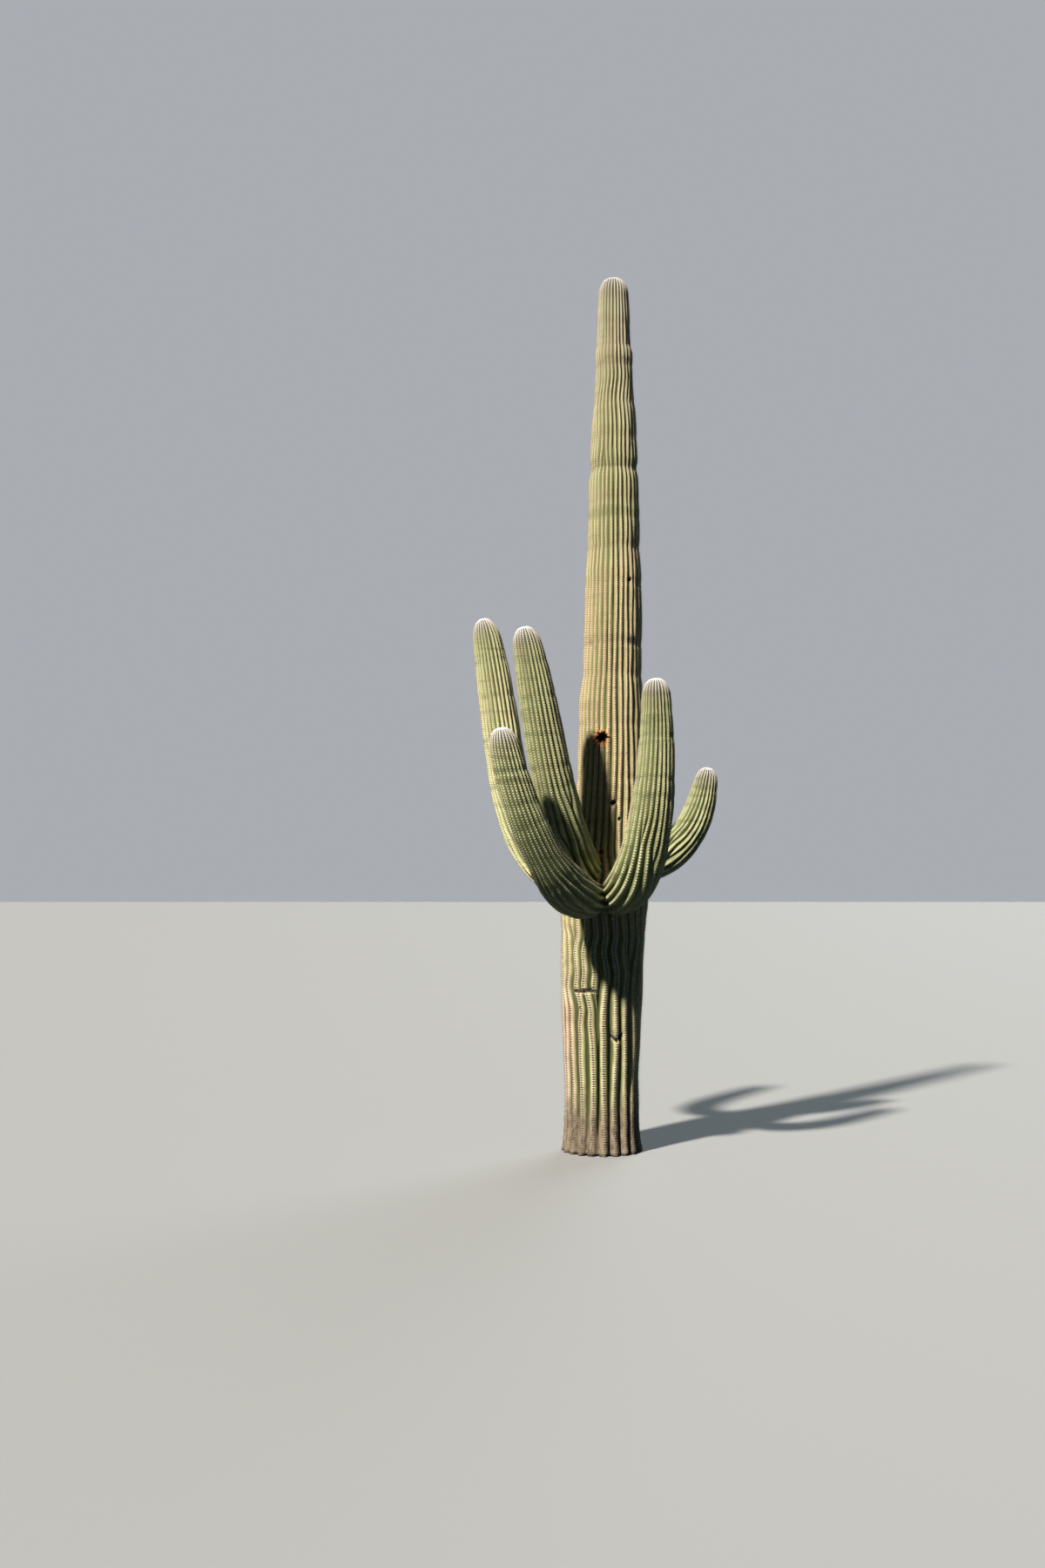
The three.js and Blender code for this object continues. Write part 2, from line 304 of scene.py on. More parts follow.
trunk = Limb("trunk", TRUNK_HEIGHT, TRUNK_DOME, TRUNK_GIRTH, TRUNK_WAISTS, TRUNK_RINGS, TRUNK_RIBS,
             trunk_place)
arms = {}
midlines = {}
for name, arm in ARMS.items():
    place, length, mid, run = arm_place(arm["line"])
    girth = [(share * length, r) for share, r in arm["girth"]]
    ribs = dict(
        full=arm["full"], foot=arm["foot"], fork_from=0.2 * length, fork_to=0.42 * length,
        turn=ARM_TURN, sharp=[(0.25 * length, 0.85), (0.55 * length, 0.7)],
    )
    arms[name] = Limb(name, length, arm["dome"], girth, [], arm["rings"], ribs, place)
    midlines[name] = (mid[::16], arms[name].radius(run[::16]) * MM)


def buried(points, own):
    """True for points that lie inside another limb."""
    hidden = np.zeros(len(points), bool)
    if own != "trunk":
        z = points[:, 2] / MM
        reach = np.hypot(points[:, 0] - blend(TRUNK_LEAN, z) * MM, points[:, 1])
        hidden |= reach < trunk.radius(z) * MM - 0.012
    for name, (mid, radii) in midlines.items():
        if name == own:
            continue
        for start in range(0, len(points), 4000):
            part = points[start:start + 4000]
            gap = np.linalg.norm(part[:, None] - mid[None], axis=2) - radii[None]
            hidden[start:start + 4000] |= gap.min(1) < -0.008
    return hidden


# Old wounds: the healed rim has a height and a reach, and the scab is widest on its heavy side
NEST = dict(height=2911, bearing=-1.92, mouth=0.036, depth=0.095, rim=0.009, reach=0.082, scab=1, heavy=-2.4)
PITS = [
    dict(height=4050, bearing=-1.005, mouth=0.017, depth=0.022, rim=0.002, reach=0.03, scab=0.15, heavy=0),
    dict(height=2446, bearing=-1.53, mouth=0.02, depth=0.026, rim=0.005, reach=0.044, scab=0.35, heavy=-0.9),
    dict(height=2333, bearing=-1.335, mouth=0.012, depth=0.01, rim=0.001, reach=0.024, scab=0.1, heavy=0),
    dict(height=2100, bearing=-1.793, mouth=0.011, depth=0.006, rim=0.005, reach=0.04, scab=1.0, heavy=-1.2),
]
WOUNDS = [NEST, *PITS]
# A wound's thickness, the depth under which its hollow gets no painted shade, and how far the ribs are levelled
# in and round it
WOUND_THICK, SHALLOW = 0.08, 0.007
LEVEL_INSIDE, LEVEL_ROUND = 0.6, 0.55
# Marks on the trunk: height, bearing, half width, half height, strength and tint
TRUNK_MARKS = [
    (3612, -0.86, 0.04, 0.046, 0.9, "dark"), (3606, -2.503, 0.034, 0.03, 0.4, "brown"),
    (3560, -2.29, 0.026, 0.02, 0.3, "brown"), (5914, -0.469, 0.024, 0.036, 0.7, "brown"),
    (5688, -0.708, 0.026, 0.026, 0.85, "dark"), (5690, -1.1, 0.02, 0.014, 0.6, "brown"),
    (5856, -2.4, 0.03, 0.012, 0.45, "brown"), (5695, -1.95, 0.04, 0.012, 0.4, "brown"),
    (5560, -0.6, 0.03, 0.034, 0.6, "dark"), (2164, -1.952, 0.013, 0.013, 1.00, "white"),
    (2444, -1.405, 0.008, 0.01, 0.8, "pale"), (1016, -2.198, 0.014, 0.012, 0.95, "dark"),
    (1322, -0.688, 0.01, 0.026, 0.6, "pale"), (1635, -1.444, 0.008, 0.008, 0.9, "white"),
]
# Marks on the arms: place in metres, half size, strength and tint
ARM_MARKS = [
    ((0.037, -0.614, 1.933), 0.034, 0.55, "brown"), ((-0.506, -0.918, 1.936), 0.026, 0.8, "brown"),
    ((-0.505, -0.71, 2.64), 0.03, 0.35, "brown"),
]


def ragged(turn, sine=np.sin):
    """The uneven outline of a wound, as a share of its mouth."""
    return 1 + 0.13 * sine(turn * 6 + 1) + 0.12 * sine(turn * 11 + 2.2) + 0.07 * sine(turn * 2 + 0.4)


def cut_rise(cut, bearing, sine=np.sin):
    """How far a cut lies over its own height, at a bearing."""
    middle = (cut["start"] + cut["end"]) / 2
    return cut["wave"] * sine(bearing * CUT_WAVES) + cut["vee"] * abs(bearing - middle)


def on_trunk(height, bearing, sunk):
    """A point in metres, that many millimetres under the crests of the trunk."""
    r = trunk.radius(np.array([height])) - sunk
    return trunk_place(np.array([height]), r, np.array([bearing]))[0]


def wound_frame(wound):
    """A wound's middle, and the way out of it."""
    bearing = wound["bearing"]
    return on_trunk(wound["height"], bearing, 9), np.array([math.cos(bearing), math.sin(bearing), 0.0])


def press_wound(points, wound):
    """Presses a wound into the skin: a bowl in its mouth, and a healed rim with rays round it."""
    centre, out = wound_frame(wound)
    away = points - centre
    height = away @ out
    flat = away - height[:, None] * out
    d = np.linalg.norm(flat, axis=1)
    turn = np.arctan2(flat[:, 2], flat @ np.cross((0, 0, 1), out))
    mouth = wound["mouth"] * ragged(turn)
    near = (d < wound["reach"]) & (np.abs(height) < WOUND_THICK)
    inner = near & (d < mouth)
    q = np.clip(d / mouth, 0, 1)
    points[inner] -= (wound["depth"] * (1 - q ** 5) + height * LEVEL_INSIDE)[inner, None] * out
    ring = near & ~inner
    lip = np.clip((d - mouth) / (wound["reach"] - mouth), 0, 1)
    rays = 1 + 0.35 * np.sin(9 * turn + 0.7) + 0.25 * np.sin(17 * turn)
    lift = wound["rim"] * (1 - lip) ** 1.5 * rays - height * LEVEL_ROUND * (1 - lip) ** 2
    points[ring] += lift[ring, None] * out


def press_cut(points, cut, end=0.1, lip=5, lip_reach=7):
    """Presses a cut into the skin, fading out at its ends, with a lower lip over it."""
    x, y = points[:, 0] - blend(TRUNK_LEAN, points[:, 2] / MM) * MM, points[:, 1]
    bearing, reach = np.arctan2(y, x), np.maximum(np.hypot(x, y), 1e-6)
    span = smooth((bearing - cut["start"]) / end) * smooth((cut["end"] - bearing) / end)
    drop = (points[:, 2] / MM - cut["height"] - cut_rise(cut, bearing)) / cut["half"]
    groove = cut["depth"] * np.exp(-drop ** 2) + lip * smooth(drop) * np.exp(-np.maximum(drop, 0) / lip_reach)
    pull = span * groove * MM
    points[:, 0] -= pull * x / reach
    points[:, 1] -= pull * y / reach


def read(items, name, kind=float, width=1):
    """One value of each item of a mesh, as an array."""
    values = np.empty(len(items) * width, kind)
    items.foreach_get(name, values)
    return values.reshape(-1, width) if width > 1 else values


def note(mesh, label, values):
    """Keeps a number for each point of a mesh, for its material to read."""
    mesh.attributes.new(label, "FLOAT", "POINT").data.foreach_set("value", values.astype(np.float32))


def spun_mesh(limb, stations, columns):
    """A limb's profile spun into a closed skin, upright and in millimetres."""
    bm = bmesh.new()
    profile = [*zip(limb.radius(stations), stations)]
    profile[-1] = (0.0, profile[-1][1])
    line = [bm.verts.new((r, 0, s)) for r, s in [(0.0, profile[0][1]), *profile]]
    links = [bm.edges.new(pair) for pair in zip(line, line[1:])]
    bmesh.ops.spin(bm, geom=line + links, cent=(0, 0, 0), axis=(0, 0, 1), angle=2 * math.pi, steps=columns,
                   use_merge=True, use_duplicate=False)
    bmesh.ops.remove_doubles(bm, verts=bm.verts, dist=0.004)
    bmesh.ops.recalc_face_normals(bm, faces=bm.faces)
    mesh = bpy.data.meshes.new(limb.name + "_skin")
    bm.to_mesh(mesh)
    bm.free()
    return mesh


def map_ribs(mesh, limb, s, column, columns, pole):
    """A UV map that counts ribs across and spine clusters along, with no jump at the last column."""
    loop_vertex = read(mesh.loops, "vertex_index", int)
    starts, totals = (read(mesh.polygons, name, int) for name in ("loop_start", "loop_total"))
    loop_column = column[loop_vertex].astype(float)
    loop_column[pole[loop_vertex]] = np.nan
    face = np.repeat(np.arange(len(starts)), totals)
    highest = np.fmax.reduceat(loop_column, starts)[face]
    loop_column[(highest - loop_column) > columns / 2] += columns
    mean = np.fmax.reduceat(loop_column, starts)[face] - 0.5
    loop_column = np.where(np.isnan(loop_column), mean, loop_column)
    tally = np.interp(s, limb.marks, limb.tally)
    uv = mesh.uv_layers.new(name="Ribs")
    uv.data.foreach_set("uv", np.stack([loop_column / ACROSS, tally[loop_vertex]], axis=1).ravel())


def spun_skin(limb, stations):
    """A closed skin: a profile spun round, ribbed, then placed along its limb."""
    columns = limb.full * ACROSS
    mesh = spun_mesh(limb, stations, columns)
    co = read(mesh.vertices, "co", width=3)
    column = np.round(np.arctan2(co[:, 1], co[:, 0]) / (2 * math.pi) * columns).astype(int) % columns
    s = stations[np.searchsorted((stations[1:] + stations[:-1]) / 2, co[:, 2])]
    pole = np.hypot(co[:, 0], co[:, 1]) < 0.01
    points, crest = limb.skin(s, column / ACROSS)
    points[pole] = limb.place(s[pole], 0 * s[pole], 0 * s[pole])
    mesh.vertices.foreach_set("co", points.ravel())
    map_ribs(mesh, limb, s, column, columns, pole)
    note(mesh, "crest", np.where(pole, 0.9, crest))
    note(mesh, "from_tip", (limb.length - s) * MM)
    note(mesh, "ring", limb.ringed(s)[0])
    if limb is not trunk:
        note(mesh, "warm", np.full(len(s), ARMS[limb.name]["warm"]))
    mesh.update()
    return mesh


def wounded(mesh, spots):
    """Cuts the faces finer round each spot, a centre and a reach, and presses the wounds in."""
    bm = bmesh.new()
    bm.from_mesh(mesh)
    for centre, reach in spots:
        near = {v for v in bm.verts if math.dist(v.co, centre) < reach}
        edges = [e for e in bm.edges if near.issuperset(e.verts)]
        bmesh.ops.subdivide_edges(bm, edges=edges, cuts=FINER, use_grid_fill=True)
    bm.to_mesh(mesh)
    bm.free()
    points = read(mesh.vertices, "co", width=3)
    for wound in WOUNDS:
        press_wound(points, wound)
    for cut in (CUT, PINCH):
        press_cut(points, cut)
    mesh.vertices.foreach_set("co", points.ravel())
    mesh.update()


def stations_of(limb, step, extra=()):
    """Lengths of the rings of points along a limb, closer at its tip and in each extra stretch."""
    body = limb.length - limb.dome
    even = np.linspace(0, body, int(round(body / step)) + 1)
    tip = body + limb.dome * np.sin(np.linspace(0, math.pi / 2, TIP_STEPS)[1:])
    close = [np.arange(height - reach, height + reach, fine) for height, reach, fine in extra]
    merged = np.unique(np.round(np.concatenate([even, tip, *close]), 2))
    keep = [merged[0]]
    for s in merged[1:]:
        if s - keep[-1] > LEAST_STEP or s > limb.length - 12:
            keep.append(s)
    return np.array(keep)


def shown(name, mesh, materials, nodes=()):
    """Makes a piece of the plant from a mesh, in place of the CAD nodes named."""
    piece = bpy.data.objects.new(name, mesh)
    bpy.context.scene.collection.objects.link(piece)
    for material in materials:
        mesh.materials.append(material)
    mesh.shade_smooth()
    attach(piece, "root")
    if nodes:
        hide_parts(*nodes)
    return piece


def sum_of(kind, turned=False):
    """A method for one kind of sum of a value and others, which come first when it is turned."""
    def method(self, *others):
        terms = (*others, self) if turned else (self, *others)
        made = self.board.node("ShaderNodeMath", {"operation": kind}, dict(enumerate(terms)))
        return Value(self.board, made.outputs[0])
    return method


class Value:
    """A number in a material that can be added, multiplied and so on."""

    def __init__(self, board, socket):
        self.board, self.socket = board, socket

    __add__, __radd__ = sum_of("ADD"), sum_of("ADD", turned=True)
    __sub__, __rsub__ = sum_of("SUBTRACT"), sum_of("SUBTRACT", turned=True)
    __mul__, __rmul__ = sum_of("MULTIPLY"), sum_of("MULTIPLY", turned=True)
    __pow__, __abs__ = sum_of("POWER"), sum_of("ABSOLUTE")
    fract, floor, sqrt, sine = sum_of("FRACT"), sum_of("FLOOR"), sum_of("SQRT"), sum_of("SINE")
    bearing, least = sum_of("ARCTAN2"), sum_of("MINIMUM")

    def step(self, low, high):
        """0 below low, 1 above high, smooth between; low may be the larger."""
        sockets = {0: self, 1: min(low, high), 2: max(low, high)}
        made = self.board.node("ShaderNodeMapRange", {"interpolation_type": "SMOOTHSTEP"}, sockets)
        made = Value(self.board, made.outputs[0])
        return 1 - made if low > high else made


class Board:
    """A material's node tree."""

    def __init__(self, name):
        self.material = bpy.data.materials.new(name)
        self.material.use_nodes = True
        self.tree = self.material.node_tree
        self.shader = self.tree.nodes["Principled BSDF"]
        self.place = self.node("ShaderNodeTexCoord", {}, {}).outputs["Object"]

    def node(self, kind, settings, sockets):
        made = self.tree.nodes.new(kind)
        for key, value in settings.items():
            setattr(made, key, value)
        for key, value in sockets.items():
            self.feed(made.inputs[key], value)
        return made

    def feed(self, socket, value):
        if isinstance(value, Value):
            value = value.socket
        if isinstance(value, bpy.types.NodeSocket):
            self.tree.links.new(value, socket)
        else:
            socket.default_value = (*value, 1) if socket.type == "RGBA" else value

    def attribute(self, name):
        return Value(self, self.node("ShaderNodeAttribute", {"attribute_name": name}, {}).outputs["Fac"])

    def split(self, vector):
        return [Value(self, part) for part in self.node("ShaderNodeSeparateXYZ", {}, {0: vector}).outputs]

    def noise(self, scale, detail, rough=0.55, stretch=None, seed=0.0):
        where = self.place
        if stretch or seed:
            where = self.node("ShaderNodeMapping", {}, {
                "Vector": self.place, "Location": (seed, seed * 0.7, -seed), "Scale": stretch or (1, 1, 1),
            }).outputs[0]
        made = self.node("ShaderNodeTexNoise", {}, {
            "Vector": where, "Scale": scale, "Detail": detail, "Roughness": rough,
        })
        return Value(self, made.outputs[0])

    def mix(self, low, high, amount):
        """Two colours mixed by a number."""
        settings = {"data_type": "RGBA", "clamp_factor": True}
        return self.node("ShaderNodeMix", settings, {0: amount, 6: low, 7: high}).outputs[2]

    def vector(self, kind, *inputs):
        """What a sum on vectors gives: first a vector, then a number."""
        return self.node("ShaderNodeVectorMath", {"operation": kind}, dict(enumerate(inputs))).outputs

    def away(self, point):
        """The way from a point, as a vector."""
        return self.vector("SUBTRACT", self.place, tuple(point))[0]

    def dot(self, vector, direction):
        return Value(self, self.vector("DOT_PRODUCT", vector, tuple(direction))[1])

    def distance(self, point, squash=(1, 1, 1)):
        """Distance in metres from a point, with each axis weighed."""
        return Value(self, self.vector("LENGTH", self.vector("MULTIPLY", self.away(point), squash)[0])[1])

    def finish(self, colour, roughness, bump=None, **plain):
        """Sets the shader, with its bump and plain values."""
        for key, value in plain.items():
            self.shader.inputs[key.replace("_", " ")].default_value = value
        self.feed(self.shader.inputs["Base Color"], colour)
        self.feed(self.shader.inputs["Roughness"], roughness)
        if bump is not None:
            height, reach = bump
            made = self.node("ShaderNodeBump", {}, {"Height": height, "Distance": reach, "Strength": 1.0})
            self.feed(self.shader.inputs["Normal"], made.outputs[0])
        return self.material


# Skin colours: in the grooves, on the flanks, along the crests and round the spine clusters
TRUNK_TONES = dict(
    groove=(0.086, 0.106, 0.028), green=(0.245, 0.232, 0.082), yellow=(0.375, 0.32, 0.142),
    pale=(0.71, 0.61, 0.41), pink=(0.72, 0.46, 0.355), spot=(0.06, 0.04, 0.032),
)
ARM_TONES = dict(
    groove=(0.056, 0.074, 0.022), green=(0.165, 0.19, 0.062), yellow=(0.272, 0.27, 0.102),
    pale=(0.54, 0.505, 0.3), pink=(0.45, 0.35, 0.235), spot=(0.09, 0.066, 0.044),
)
OLD_FLANK = (0.53, 0.51, 0.23)
# Painted shade in the grooves of the lower trunk
LOW_GROOVE_SHADE = (0.04, 0.048, 0.014)
OLD_PINK = (0.49, 0.275, 0.255)
UPPER_FLANK = (0.2, 0.205, 0.085)
BAND_GREEN = (0.105, 0.125, 0.03)
ARM_WARM = (0.57, 0.53, 0.265)
ARM_DEEP = (0.08, 0.098, 0.032)
ARM_BAND = (0.07, 0.086, 0.028)
ARM_LOW_CREST = (0.7, 0.66, 0.42)
TIP_FLANK = (0.265, 0.232, 0.182)
# Painted shade in the grooves near a growing tip
TIP_GROOVE_SHADE = (0.048, 0.038, 0.026)
TIP_CREST = (0.6, 0.56, 0.59)
WOOL = (0.78, 0.74, 0.86)
CORK = (0.215, 0.16, 0.105)
CORK_DARK = (0.07, 0.05, 0.034)
BRUISE = (0.15, 0.085, 0.048)
BRUISE_DARK = (0.045, 0.028, 0.02)
SCAR_PALE = (0.64, 0.56, 0.44)
SCAB = (0.4, 0.15, 0.042)
SCAB_PALE = (0.64, 0.37, 0.14)
SCAB_DARK = (0.11, 0.035, 0.014)
# Painted shade in the hollows of wounds and cuts
HOLLOW_SHADE = (0.01, 0.006, 0.004)
MARK_TINTS = {"brown": BRUISE, "dark": BRUISE_DARK, "pale": SCAR_PALE, "white": WOOL}

# Heights where a coat starts to show and where it is full, first on the trunk and then on the arms
OLD_FLANKS = (2.1, 1.4)
# Heights of the painted shade low on the trunk, in the grooves and round the spine clusters
LOW_SHADE_HEIGHTS = (2.1, 1.5)
# Heights where the spots grow larger as painted shade of the spines
SPOT_SHADE_HEIGHTS = (2.1, 1.3)
CORK_FOOT = (0.5, 0.1)
PINK_CRESTS = (4.3, 3.3)
PALE_CRESTS = (1.9, 1.4)
UPPER_FLANKS = (4.1, 4.9)
UPPER_CRESTS = (3.9, 4.7)
CROWN = (5.1, 6.1)
ARM_BENDS = (2.42, 2.00)
BEND_CRESTS = (2.35, 1.95)
UPRIGHTS = (1.95, 2.25)
UPRIGHT_FLANKS = (2.2, 2.6)
# The same for two sides of the lower trunk: bearings, then heights. On the lit side, toward the key light, the
# painted shade in the grooves and round the spine clusters is lighter
LIT_SIDE = ((-2.1, -2.4), (1.05, 1.35))
PINK_SIDE = ((-2.3, -2.62), (1.65, 0.9))
# The same for lengths from a growing tip
TIP_COAT = (0.22, 0.05)
# Lengths from a tip of the painted shade in its grooves
TIP_GROOVE_SHADE_REACH = (0.005, 0.07)
TIP_CRESTS = (0.11, 0.03)
TIP_WOOL = (0.016, 0.006)
ARM_AGEING = (0.05, 0.8)
# Bands round the trunk: height in metres, half height, tint and strength
TRUNK_BANDS = [
    (4.888, 0.018, BRUISE_DARK, 0.45), (4.308, 0.016, BRUISE, 0.3), (4.545, 0.06, BAND_GREEN, 0.55),
    (5.8, 0.022, BRUISE, 0.25), (5.655, 0.016, BRUISE, 0.35), (3.605, 0.03, BRUISE, 0.25),
]


class Skin:
    """The colour of a skin, laid on coat by coat, and the patterns that the coats go by."""

    def __init__(self, name, tones):
        b = self.board = Board(name)
        self.tones = tones
        self.crest, self.from_tip, self.ring = (b.attribute(label) for label in ("crest", "from_tip", "ring"))
        self.x, self.y, self.z = b.split(b.place)
        self.broad = b.noise(2.1, 4)
        self.cloud = b.noise(11, 4, 0.6, seed=3.1)
        self.streak = b.noise(16, 4, 0.6, stretch=(1, 1, 0.16), seed=1.7)
        self.grain = b.noise(120, 5, 0.65)
        self.speck = b.noise(420, 2, 0.5)
        # From 0 on a crest, and at a spine cluster, to 0.5 half way to the next
        rib, cluster, _ = b.split(b.node("ShaderNodeUVMap", {"uv_map": "Ribs"}, {}).outputs[0])
        self.across = abs(rib.fract() - 0.5)
        self.along = abs((cluster - (rib.floor() * RIB_PHASE).fract()).fract() - 0.5)
        patchy = self.cloud * 0.7 + self.streak * 0.5 + self.broad * 0.5 - 0.5
        self.colour = b.mix(tones["green"], tones["yellow"], patchy.step(0.12, 0.72))
        pads = (1 - self.along * 2).step(0.1, 0.9) * self.across.step(0.28, 0.0)
        self.height = self.grain * 0.35 + self.speck * 0.15 + pads * 1.8

    def lay(self, tint, where, most=None):
        """Lays a tint over the colour, as thickly as two numbers say."""
        self.colour = self.board.mix(self.colour, tint, where if most is None else where * most)

    def uneven(self, **shares):
        """The named patterns, each weighed and evened out about 0, added up."""
        first, *rest = [(getattr(self, pattern) - 0.5) * share for pattern, share in shares.items()]
        return sum(rest, first)

    def grooves(self):
        show = (self.crest + self.uneven(grain=0.3)).step(0.12, 0.78)
        self.colour = self.board.mix(self.tones["groove"], self.colour, show)

    def crest_tone(self, pinker=0.0):
        """The colour of the crests, here pale and there pink."""
        pink = (self.broad + self.uneven(streak=0.5) + pinker).step(0.44, 0.62)
        return self.board.mix(self.tones["pale"], self.tones["pink"], pink)

    def crests(self, tone, strength):
        """Lays a colour along the crests, which are a little duller than the flanks."""
        ridge = (self.across + self.uneven(cloud=0.05)).step(0.22, 0.07) * strength
        self.lay(tone, ridge, 0.7 + 0.3 * self.grain)
        self.rough = 0.5 + 0.22 * self.grain + 0.18 * ridge

    def spots(self, larger, most):
        """A dark spot round each spine cluster, its own darker skin; made larger, it is also painted shade of
        the spines.
        """
        far = ((self.across * 7.5) ** 2 + (self.along * 2.8) ** 2).sqrt() - larger
        self.lay(self.tones["spot"], far.step(1.0, 0.6), most)

    def bands(self, tint, most):
        """Faint bands across the ribs."""
        level = self.board.noise(7, 5, 0.65, stretch=(0.3, 0.3, 3.2), seed=7.7) + self.uneven(grain=0.22)
        self.lay(tint, level.step(0.5, 0.66), most)

    def wear(self, tint, most):
        """Wear on the yearly rings, and small brown patches all over."""
        self.lay(tint, self.ring * (self.grain * 0.5 + self.cloud * 0.5).step(0.44, 0.6), most)
        patches = self.grain * 0.5 + self.cloud * 0.6 + self.speck * 0.2 + self.ring * 0.1
        self.lay(BRUISE, patches.step(0.8, 0.94), 0.45)

    def growing_tip(self):
        near = self.from_tip.step(*TIP_COAT)
        self.lay(TIP_FLANK, near * self.crest.step(0.3, 0.75), 0.65)
        # Painted shade in the grooves near the tip
        self.lay(TIP_GROOVE_SHADE, near * self.crest.step(0.8, 0.45) * self.from_tip.step(*TIP_GROOVE_SHADE_REACH), 0.8)
        self.lay(TIP_CREST, self.from_tip.step(*TIP_CRESTS) * self.across.step(0.24, 0.12), 0.85)
        self.lay(WOOL, self.from_tip.step(*TIP_WOOL), 0.95)

    def mark(self, centre, halves, tint, most):
        """A mark with an uneven edge."""
        far = self.board.distance(centre, tuple(1 / half for half in halves))
        self.lay(MARK_TINTS[tint], (far + self.uneven(grain=0.9, cloud=0.8)).step(1.15, 0.55), most)

    def finish(self):
        rough, bump = self.rough.least(0.92), (self.height, 0.0018)
        return self.board.finish(self.colour, rough, bump, Specular_IOR_Level=0.35)


def paint_wound(skin, wound):
    """Paints the scab of a wound, and painted shade in its hollow."""
    b, grain, cloud = skin.board, skin.grain, skin.cloud
    centre, out = wound_frame(wound)
    off = b.away(centre)
    across, rise = b.dot(off, np.cross((0, 0, 1), out)), b.dot(off, (0, 0, 1))
    turn = rise.bearing(across)
    width = wound["reach"] - wound["mouth"]
    past_edge = (across ** 2 + rise ** 2).sqrt() + skin.uneven(grain=0.01, cloud=0.012)
    past_edge = past_edge - wound["mouth"] * ragged(turn, Value.sine)
    near = b.distance(centre).step(wound["reach"] * 1.15, wound["reach"])
    rays = (turn * 13 + cloud * 7).sine() * 0.5 + (turn * 29 + cloud * 9).sine() * 0.35
    wide = width * (0.62 + 0.3 * (turn - (wound["heavy"] - math.pi / 2)).sine())
    ring = (past_edge - rays * width * 0.1 - wide).step(width * 0.14, width * -0.14) * near
    scab = b.mix(SCAB, SCAB_PALE, (rays + (grain - 0.5) * 1.4).step(-0.2, 0.6))
    scab = b.mix(scab, SCAB_DARK, ((grain - 0.5) * 2.0 - rays).step(0.2, 0.6) * 0.9)
    scab = b.mix(scab, SCAB_DARK, (past_edge - rays * width * 0.08).step(width * 0.3, width * 0.08))
    skin.lay(scab, ring, wound["scab"])
    # Painted shade in the wound's hollow
    if wound["depth"] > SHALLOW:
        skin.lay(HOLLOW_SHADE, past_edge.step(0.002, -0.003) * near)


def paint_cut(skin, cut, half_across, wobble):
    """Paints the pale lips and the brown edges of a cut, and painted shade in its hollow."""
    middle = on_trunk(cut["height"], (cut["start"] + cut["end"]) / 2, 12)
    bearing = skin.y.bearing(skin.x - float(blend(TRUNK_LEAN, cut["height"])) * MM)
    off = abs(skin.z - cut_rise(cut, bearing, Value.sine) * MM - middle[2] + wobble * 0.1)
    near = skin.board.distance(middle, (1, 1, 0)).step(half_across * 1.1, half_across * 0.9)
    hollow = cut["half"] * MM
    skin.lay(skin.tones["pale"], off.step(0.026, 0.012) * near, 0.4)
    skin.lay(BRUISE_DARK, off.step(0.018, 0.01) * near, 0.7)
    # Painted shade in the cut's hollow
    skin.lay(HOLLOW_SHADE, off.step(hollow, hollow * 0.5) * near, 0.9)


def trunk_material():
    """Yellow with painted shade in the grooves low down, lighter on the lit side, pinkest in the middle, greyer
    at the crown, and cork at the foot.
    """
    skin = Skin("trunk_skin", TRUNK_TONES)
    z, crest, cloud, grain = skin.z, skin.crest, skin.cloud, skin.grain
    bearing = skin.y.bearing(skin.x)
    skin.lay(OLD_FLANK, z.step(*OLD_FLANKS) * (skin.streak + (cloud - 0.5)).step(0.2, 0.7), 0.8)
    skin.lay(UPPER_FLANK, z.step(*UPPER_FLANKS), 0.5)
    skin.lay(TIP_FLANK, z.step(*CROWN), 0.45)
    skin.grooves()
    old, upper = z.step(*LOW_SHADE_HEIGHTS), z.step(*UPPER_CRESTS)
    lit, left = (bearing.step(*bearings) * z.step(*heights) for bearings, heights in (LIT_SIDE, PINK_SIDE))
    # Painted shade in the grooves low on the trunk, lighter on the lit side
    skin.lay(LOW_GROOVE_SHADE, old * (crest + skin.uneven(grain=0.2)).step(0.94, 0.48), 0.95 - 0.5 * lit)
    skin.lay(OLD_PINK, left * crest.step(0.5, 0.9), 0.2 + 0.6 * cloud)
    tone = skin.crest_tone(z.step(*PINK_CRESTS) * 0.22 - z.step(*PALE_CRESTS) * 0.2)
    skin.crests(tone, 1 - upper * 0.25)
    # The spots are darker and larger low on the trunk as painted shade of the spines, and lighter on the lit
    # side
    skin.spots(z.step(*SPOT_SHADE_HEIGHTS) * 0.28, 0.5 + old * (0.32 - 0.2 * lit) - upper * 0.22)
    skin.bands(BRUISE, 0.22)
    skin.wear(BRUISE, 0.28)
    skin.growing_tip()
    wobble = skin.uneven(cloud=0.1, streak=0.08)
    for level, half, tint, most in TRUNK_BANDS:
        band = abs(z + wobble * 0.25 - level).step(half, half * 0.2)
        skin.lay(tint, band * most, 0.35 + 0.65 * grain)
    for height, bearing_of, half_across, half_up, most, tint in TRUNK_MARKS:
        skin.mark(on_trunk(height, bearing_of, 8), (half_across, half_across, half_up), tint, most)
    cork = (z + wobble * 2.2 - (crest - 0.5) * 0.1).step(*CORK_FOOT)
    plates = skin.board.noise(26, 5, 0.7, stretch=(1, 1, 0.45), seed=5.3)
    bark = skin.board.mix(CORK_DARK, CORK, (plates + skin.uneven(grain=0.5)).step(0.34, 0.62))
    skin.lay(bark, cork, 0.95)
    skin.height = skin.height + cork * plates * 5.0
    skin.rough = skin.rough + cork * 0.2
    for wound in WOUNDS:
        paint_wound(skin, wound)
    paint_cut(skin, CUT, 0.096, wobble)
    paint_cut(skin, PINCH, 0.046, wobble)
    return skin.finish()


